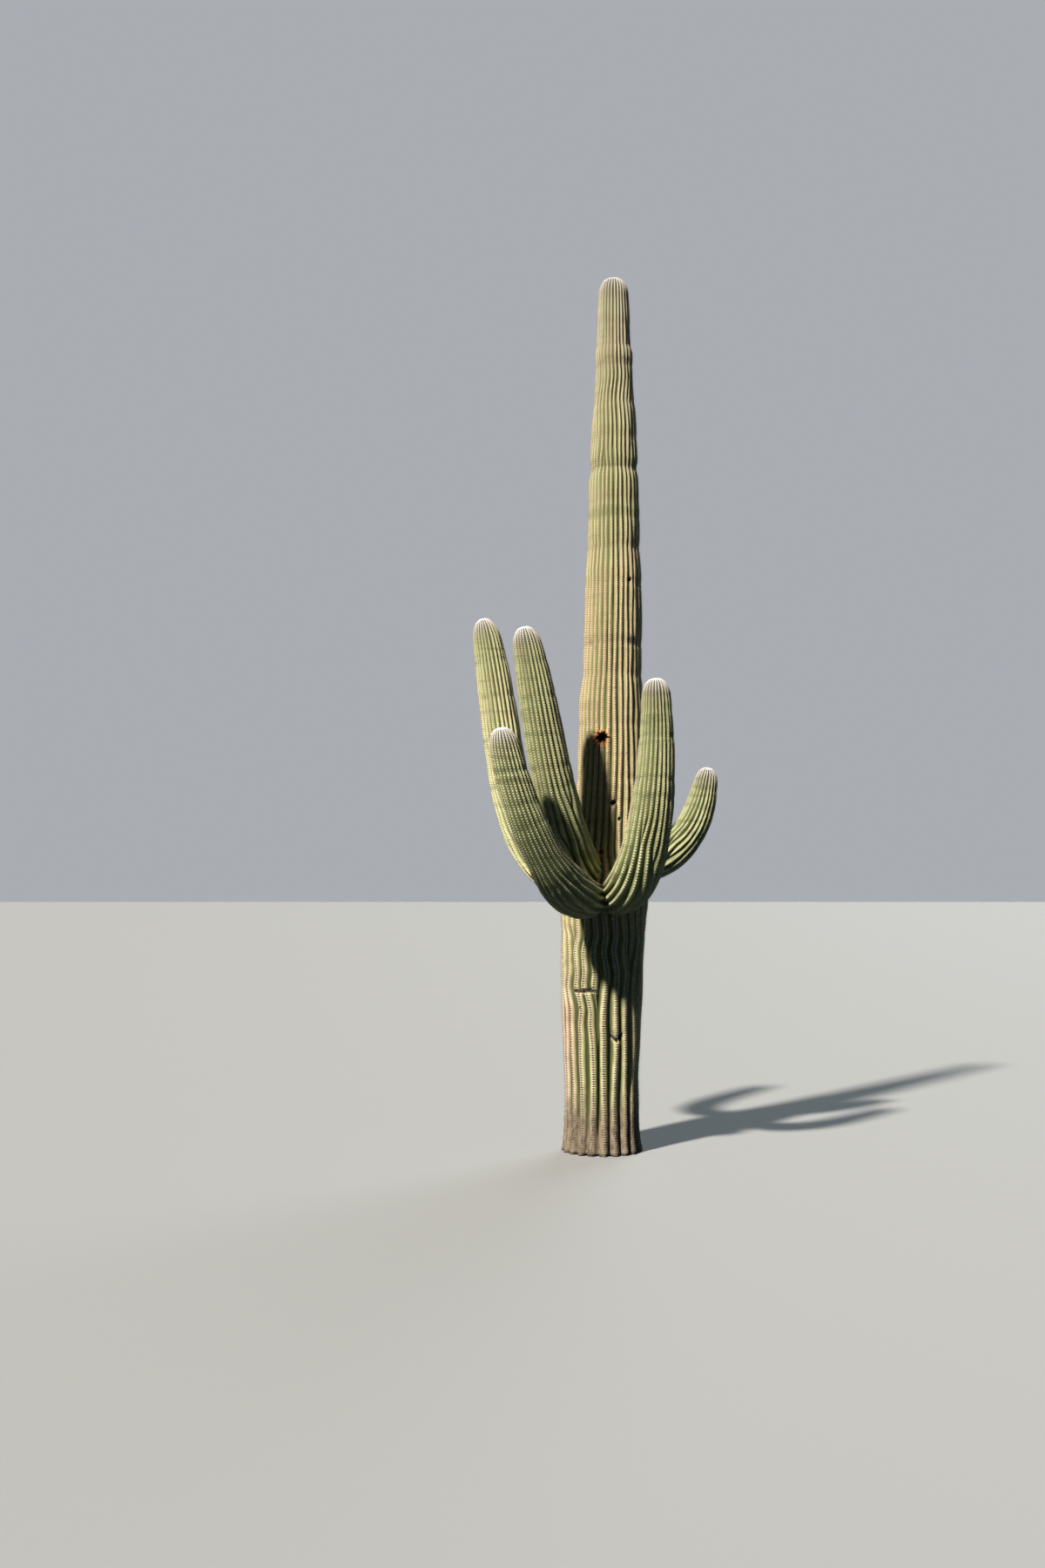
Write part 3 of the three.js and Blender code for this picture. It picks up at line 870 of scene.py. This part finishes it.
def arm_material():
    """Greener than the trunk. Where warm is over 0 an arm is yellower, and under 0 its bend is deeper."""
    skin = Skin("arm_skin", ARM_TONES)
    z, crest, cloud = skin.z, skin.crest, skin.cloud
    warm = skin.board.attribute("warm")
    front = warm.step(0.0, -0.4)
    bend, upright = front * z.step(*ARM_BENDS), front * z.step(*UPRIGHTS)
    skin.lay(ARM_WARM, warm * (0.6 + 0.4 * cloud), skin.from_tip.step(*ARM_AGEING) * 0.5 + 0.5)
    skin.lay(ARM_DEEP, bend, 0.85)
    skin.lay(ARM_WARM, front * z.step(*UPRIGHT_FLANKS), 0.42)
    skin.grooves()
    skin.lay(ARM_BAND, upright * crest.step(0.88, 0.5), 0.55 + 0.5 * (cloud - 0.3))
    tone = skin.board.mix(skin.crest_tone(), ARM_LOW_CREST, z.step(*BEND_CRESTS) * 0.6 + upright * 0.6)
    skin.crests(tone, 1 - bend * 0.25)
    skin.spots(0.0, 0.32)
    skin.bands(ARM_BAND, 0.45 + 0.2 * front)
    mottle = (cloud * 0.6 + skin.streak * 0.4 + skin.uneven(speck=0.15)).step(0.49, 0.6)
    skin.lay(ARM_DEEP, mottle * warm.step(0.7, 0.0), 0.38)
    skin.wear(ARM_BAND, 0.55)
    skin.growing_tip()
    for centre, half, most, tint in ARM_MARKS:
        skin.mark(centre, (half,) * 3, tint, most)
    return skin.finish()


def fine_material(name, colour, roughness):
    """A finish for spines or felt: one tint, mottled evenly at the scale of a spine."""
    b = Board(name)
    mottle = b.noise(260, 2, 0.6)
    dark = tuple(0.62 * c for c in colour)
    light = tuple(min(1.18 * c, 0.86) for c in colour)
    return b.finish(b.mix(dark, light, mottle.step(0.3, 0.6)), roughness + 0.15 * (mottle - 0.5),
                    Specular_IOR_Level=0.3)


SPINE_TINTS = {
    "spine_cream": (0.52, 0.44, 0.3), "spine_tan": (0.36, 0.265, 0.165),
    "spine_grey": (0.215, 0.18, 0.14), "spine_brown": (0.115, 0.075, 0.048),
    "spine_white": (0.75, 0.71, 0.85), "spine_rose": (0.47, 0.305, 0.225),
}
CREAM, TAN, GREY, BROWN, WHITE, ROSE = range(len(SPINE_TINTS))
FELT_TINTS = {
    "felt_tan": (0.3, 0.205, 0.135), "felt_grey": (0.165, 0.135, 0.105), "felt_dark": (0.055, 0.038, 0.028),
    "felt_wool": (0.68, 0.64, 0.74), "felt_rose": (0.32, 0.185, 0.135),
}
FELT_TAN, FELT_GREY, FELT_DARK, FELT_WOOL, FELT_ROSE = range(len(FELT_TINTS))


def joined(name, points, faces, tints, materials):
    """One piece from arrays of points and three-cornered faces, each face with its tint."""
    mesh = bpy.data.meshes.new(name)
    for items, width, label, values in (
        (mesh.vertices, 3, "co", points.astype(np.float32)), (mesh.loops, 1, "vertex_index", faces),
        (mesh.polygons, 1, "loop_start", np.arange(len(faces)) * 3),
    ):
        items.add(values.size // width)
        items.foreach_set(label, values.ravel())
    mesh.polygons.foreach_set("material_index", tints)
    mesh.update(calc_edges=True)
    return shown(name, mesh, materials)


def repeated(corners, pattern):
    """The points and faces of many small shapes, from the corners of each and the faces of one."""
    points = np.stack(corners, axis=1)
    faces = (np.arange(len(points)) * len(corners))[:, None, None] + np.array(pattern)[None]
    return points.reshape(-1, 3), faces.reshape(-1, 3)


def needle_arrays(root, reach, width):
    """Thin three-sided needles from their roots along their reach."""
    axis = unit(reach)
    helper = np.where(np.abs(axis[:, 2:3]) > 0.8, [[1.0, 0, 0]], [[0, 0, 1.0]])
    first = unit(np.cross(axis, helper))
    second = np.cross(axis, first)
    turns = [k * 2 * math.pi / 3 for k in range(3)]
    ring = [root + width[:, None] * (math.cos(a) * first + math.sin(a) * second) for a in turns]
    return repeated([*ring, root + reach], [(0, 2, 1), (0, 1, 3), (1, 2, 3), (2, 0, 3)])


def felt_arrays(here, out, up, side, size):
    """Low six-sided cushions of felt, their rims a little under the skin."""
    turns = [k * math.pi / 3 for k in range(6)]
    size, low = size[:, None], here - out * 0.0012
    ring = [low + size * (math.cos(a) * up * 1.15 + math.sin(a) * side * 0.8) for a in turns]
    return repeated([*ring, here + out * size * 0.55], [((k + 1) % 6, k, 6) for k in range(6)])


# Central spines hang a little, and radial ones lie round them. Older is how much they gain on old skin
CENTRAL = dict(lean=(0.1, 0.55), length=(13, 19), fall=-0.35, width=0.00056, older=0.35)
RADIAL = dict(lean=(0.75, 1.35), length=(10, 16), fall=-0.05, width=0.00044, older=-0.15)
CENTRALS, RADIALS = 2, 5
# Spines that are missing near the tip
MISSING_AT_TIP = (1, 3, 5)
ROOT_SUNK = 0.0015
ARM_SLIM = 0.78
FELT_SIZE = (3.4, 4.6)


class Ages:
    """How young, white, old, slim and rosy the clusters at lengths s of a limb are."""

    def __init__(self, limb, s):
        from_tip = limb.length - s
        self.tip = smooth((TIP_REACH - from_tip) / 115)
        self.white = smooth((50 - from_tip) / 38)
        if limb is trunk:
            self.old = smooth((2200 - s) / 900)
            self.slim = 1 - 0.15 * smooth((s - 4300) / 900)
            self.rosy = smooth((4500 - s) / 900) * 0.45
        else:
            self.old, self.slim, self.rosy = (np.full(len(s), value) for value in (0.0, ARM_SLIM, 0.15))

    def spine_tint(self, pick):
        tint = np.where(pick < 0.45, CREAM, np.where(pick < 0.75, TAN, GREY))
        tint = np.where(pick < 0.62 * self.rosy, ROSE, tint)
        tint = np.where((self.old > pick + 0.25) & (pick > 0.25), GREY, tint)
        tint = np.where((pick > 0.45) & (self.old > 0.3), BROWN, tint)
        return np.where(self.white > 0.15 + pick * 0.7, WHITE, tint)

    def felt_tint(self, pick, darkest):
        tint = np.where(pick < 0.35, FELT_TAN, np.where(pick < 0.75, FELT_GREY, darkest))
        tint = np.where(pick < 0.5 * self.rosy, FELT_ROSE, tint)
        tint = np.where((self.old > 0.3) & (pick > 0.4), darkest, tint)
        return np.where(self.white > 0.15 + 0.7 * pick, FELT_WOOL, tint)


def bare(limb, s, u, here):
    """True for clusters inside another limb or near a wound, and for most at the corky foot."""
    hidden = buried(here, limb.name)
    if limb is trunk:
        for wound in WOUNDS:
            hidden |= np.linalg.norm(here - wound_frame(wound)[0], axis=1) <= wound["mouth"] + 0.022
        hidden |= (s <= 330) & (scatter(s * 0.37 + u) >= s / 420)
    return hidden


def dress(limb, label, low, high, materials):
    """Spines on one stretch of a limb, and the arrays of its felt."""
    s, u = limb.clusters()
    here, out, up, side = limb.frames(s, u)
    keep = (s >= low) & (s < high) & ~bare(limb, s, u, here)
    s, here, out, up, side = (a[keep] for a in (s, here, out, up, side))
    n, ages = len(s), Ages(limb, s)
    tip, old, slim = ages.tip, ages.old, ages.slim
    needles = []
    for k in range(CENTRALS + RADIALS):
        kind = CENTRAL if k < CENTRALS else RADIAL
        grown = tip < 0.2 if k in MISSING_AT_TIP else np.ones(n, bool)
        lean = draw.uniform(*kind["lean"], n) * (1 - 0.7 * tip)
        if kind is RADIAL:
            turn = (k - CENTRALS) * 2 * math.pi / RADIALS + draw.uniform(-0.5, 0.5, n)
        else:
            turn = draw.uniform(0, 6.283, n)
        spread_out = np.sin(lean) * np.cos(turn) * (0.55 - 0.42 * tip - 0.2 * old) * slim
        rise = np.sin(lean) * np.sin(turn) + kind["fall"] * (1 - tip)
        direction = unit(out * np.cos(lean)[:, None] + side * spread_out[:, None] + up * rise[:, None])
        length = draw.uniform(*kind["length"], n) * (1 + kind["older"] * old) * slim * (1 - 0.48 * tip)
        root, reach = here - direction * ROOT_SUNK, direction * (length * MM)[:, None]
        width, tint = kind["width"] * (1 + 0.3 * old) * slim, ages.spine_tint(draw.uniform(0, 1, n))
        needles.append([a[grown] for a in (root, reach, width, tint)])
    *shape, tint = (np.concatenate(a) for a in zip(*needles))
    joined(label + "_spines", *needle_arrays(*shape), np.repeat(tint, 4), materials)
    size = draw.uniform(*FELT_SIZE, n) * (1 + 0.1 * old) * slim * MM
    points, faces = felt_arrays(here, out, up, side, size)
    tint = ages.felt_tint(draw.uniform(0, 1, n), FELT_DARK if limb is trunk else FELT_TAN)
    return points, faces, np.repeat(tint, 6)


def gather(name, parts, materials):
    """Joins the felt of several stretches into one piece."""
    points, faces, tints = zip(*parts)
    starts = np.cumsum([0] + [len(p) for p in points[:-1]])
    faces = [f + start for f, start in zip(faces, starts)]
    joined(name, np.concatenate(points), np.concatenate(faces), np.concatenate(tints), materials)


trunk_skin, arm_skin = trunk_material(), arm_material()
spine_materials = [fine_material(name, tint, 0.55) for name, tint in SPINE_TINTS.items()]
felt_materials = [fine_material(name, tint, 0.9) for name, tint in FELT_TINTS.items()]

closer = [(NEST["height"], 85, 6), (CUT["height"], 60, 6), (PINCH["height"], 70, 8)]
mesh = spun_skin(trunk, stations_of(trunk, TRUNK_STEP, closer))
wounded(mesh, [(wound_frame(NEST)[0], 0.085), *((wound_frame(pit)[0], 0.05) for pit in PITS)])
shown("trunk_relief", mesh, [trunk_skin], ["trunk"])
for name, limb in arms.items():
    mesh = spun_skin(limb, stations_of(limb, ARM_STEP))
    shown(name + "_relief", mesh, [arm_skin], [name + "_elbow", name + "_column"])

stretches = [("trunk_lower", 0, 2050), ("trunk_middle", 2050, 4200), ("trunk_upper", 4200, 6400)]
felt = [dress(trunk, label, low, high, spine_materials) for label, low, high in stretches]
gather("trunk_felt", felt, felt_materials)
felt = [dress(limb, name, 0, limb.length + 1, spine_materials) for name, limb in arms.items()]
gather("arm_felt", felt, felt_materials)

# A pale floor that casts no light on the plant
bpy.ops.mesh.primitive_plane_add(size=400, location=(0, 0, -0.002))
floor = bpy.context.object
floor.name = "floor"
floor.data.materials.append(Board("floor_pale").finish((0.24, 0.236, 0.228), 0.9))
floor.visible_diffuse = False


def lamp(name, kind, energy, colour, turn, **settings):
    """A light, turned by angles in degrees."""
    light = bpy.data.objects.new(name, bpy.data.lights.new(name, kind))
    light.rotation_euler = [math.radians(angle) for angle in turn]
    for key, value in dict(settings, energy=energy, color=colour).items():
        setattr(light.data, key, value)
    bpy.context.scene.collection.objects.link(light)
    return light


# The key is at the front left, and the weak fill at the front right
lamp("key", "SUN", 8.9, (1.0, 0.965, 0.9), (47, 0, -38.5), angle=0.06)
lamp("fill", "AREA", 9, (0.55, 0.85, 1.0), (80, 0, 45), size=6).location = (7, -7, 4)
lamp("behind", "SUN", 2.0, (0.85, 0.95, 1.0), (-60, 0, -25), angle=0.6)

# A faint cool surround, which the camera sees as plain grey
world = bpy.data.worlds.new("surround")
bpy.context.scene.world = world
world.use_nodes = True
nodes, links = world.node_tree.nodes, world.node_tree.links
surround, backdrop = nodes["Background"], nodes.new("ShaderNodeBackground")
surround.inputs[0].default_value, surround.inputs[1].default_value = (0.22, 0.62, 1.0, 1), 0.06
backdrop.inputs[0].default_value = (0.4, 0.42, 0.45, 1)
seen, choice = nodes.new("ShaderNodeLightPath"), nodes.new("ShaderNodeMixShader")
for socket, output in enumerate((seen.outputs["Is Camera Ray"], surround.outputs[0], backdrop.outputs[0])):
    links.new(output, choice.inputs[socket])
links.new(choice.outputs[0], nodes["World Output"].inputs[0])

camera = bpy.data.objects.new("camera", bpy.data.cameras.new("camera"))
camera.location = (-0.575, -10.9375, 1.8446)
camera.rotation_euler = (math.radians(90 + 3.9227), 0, 0)
camera.data.lens, camera.data.sensor_width = 35, 36
bpy.context.scene.collection.objects.link(camera)
bpy.context.scene.camera = camera
bpy.context.scene.view_settings.view_transform = "Standard"
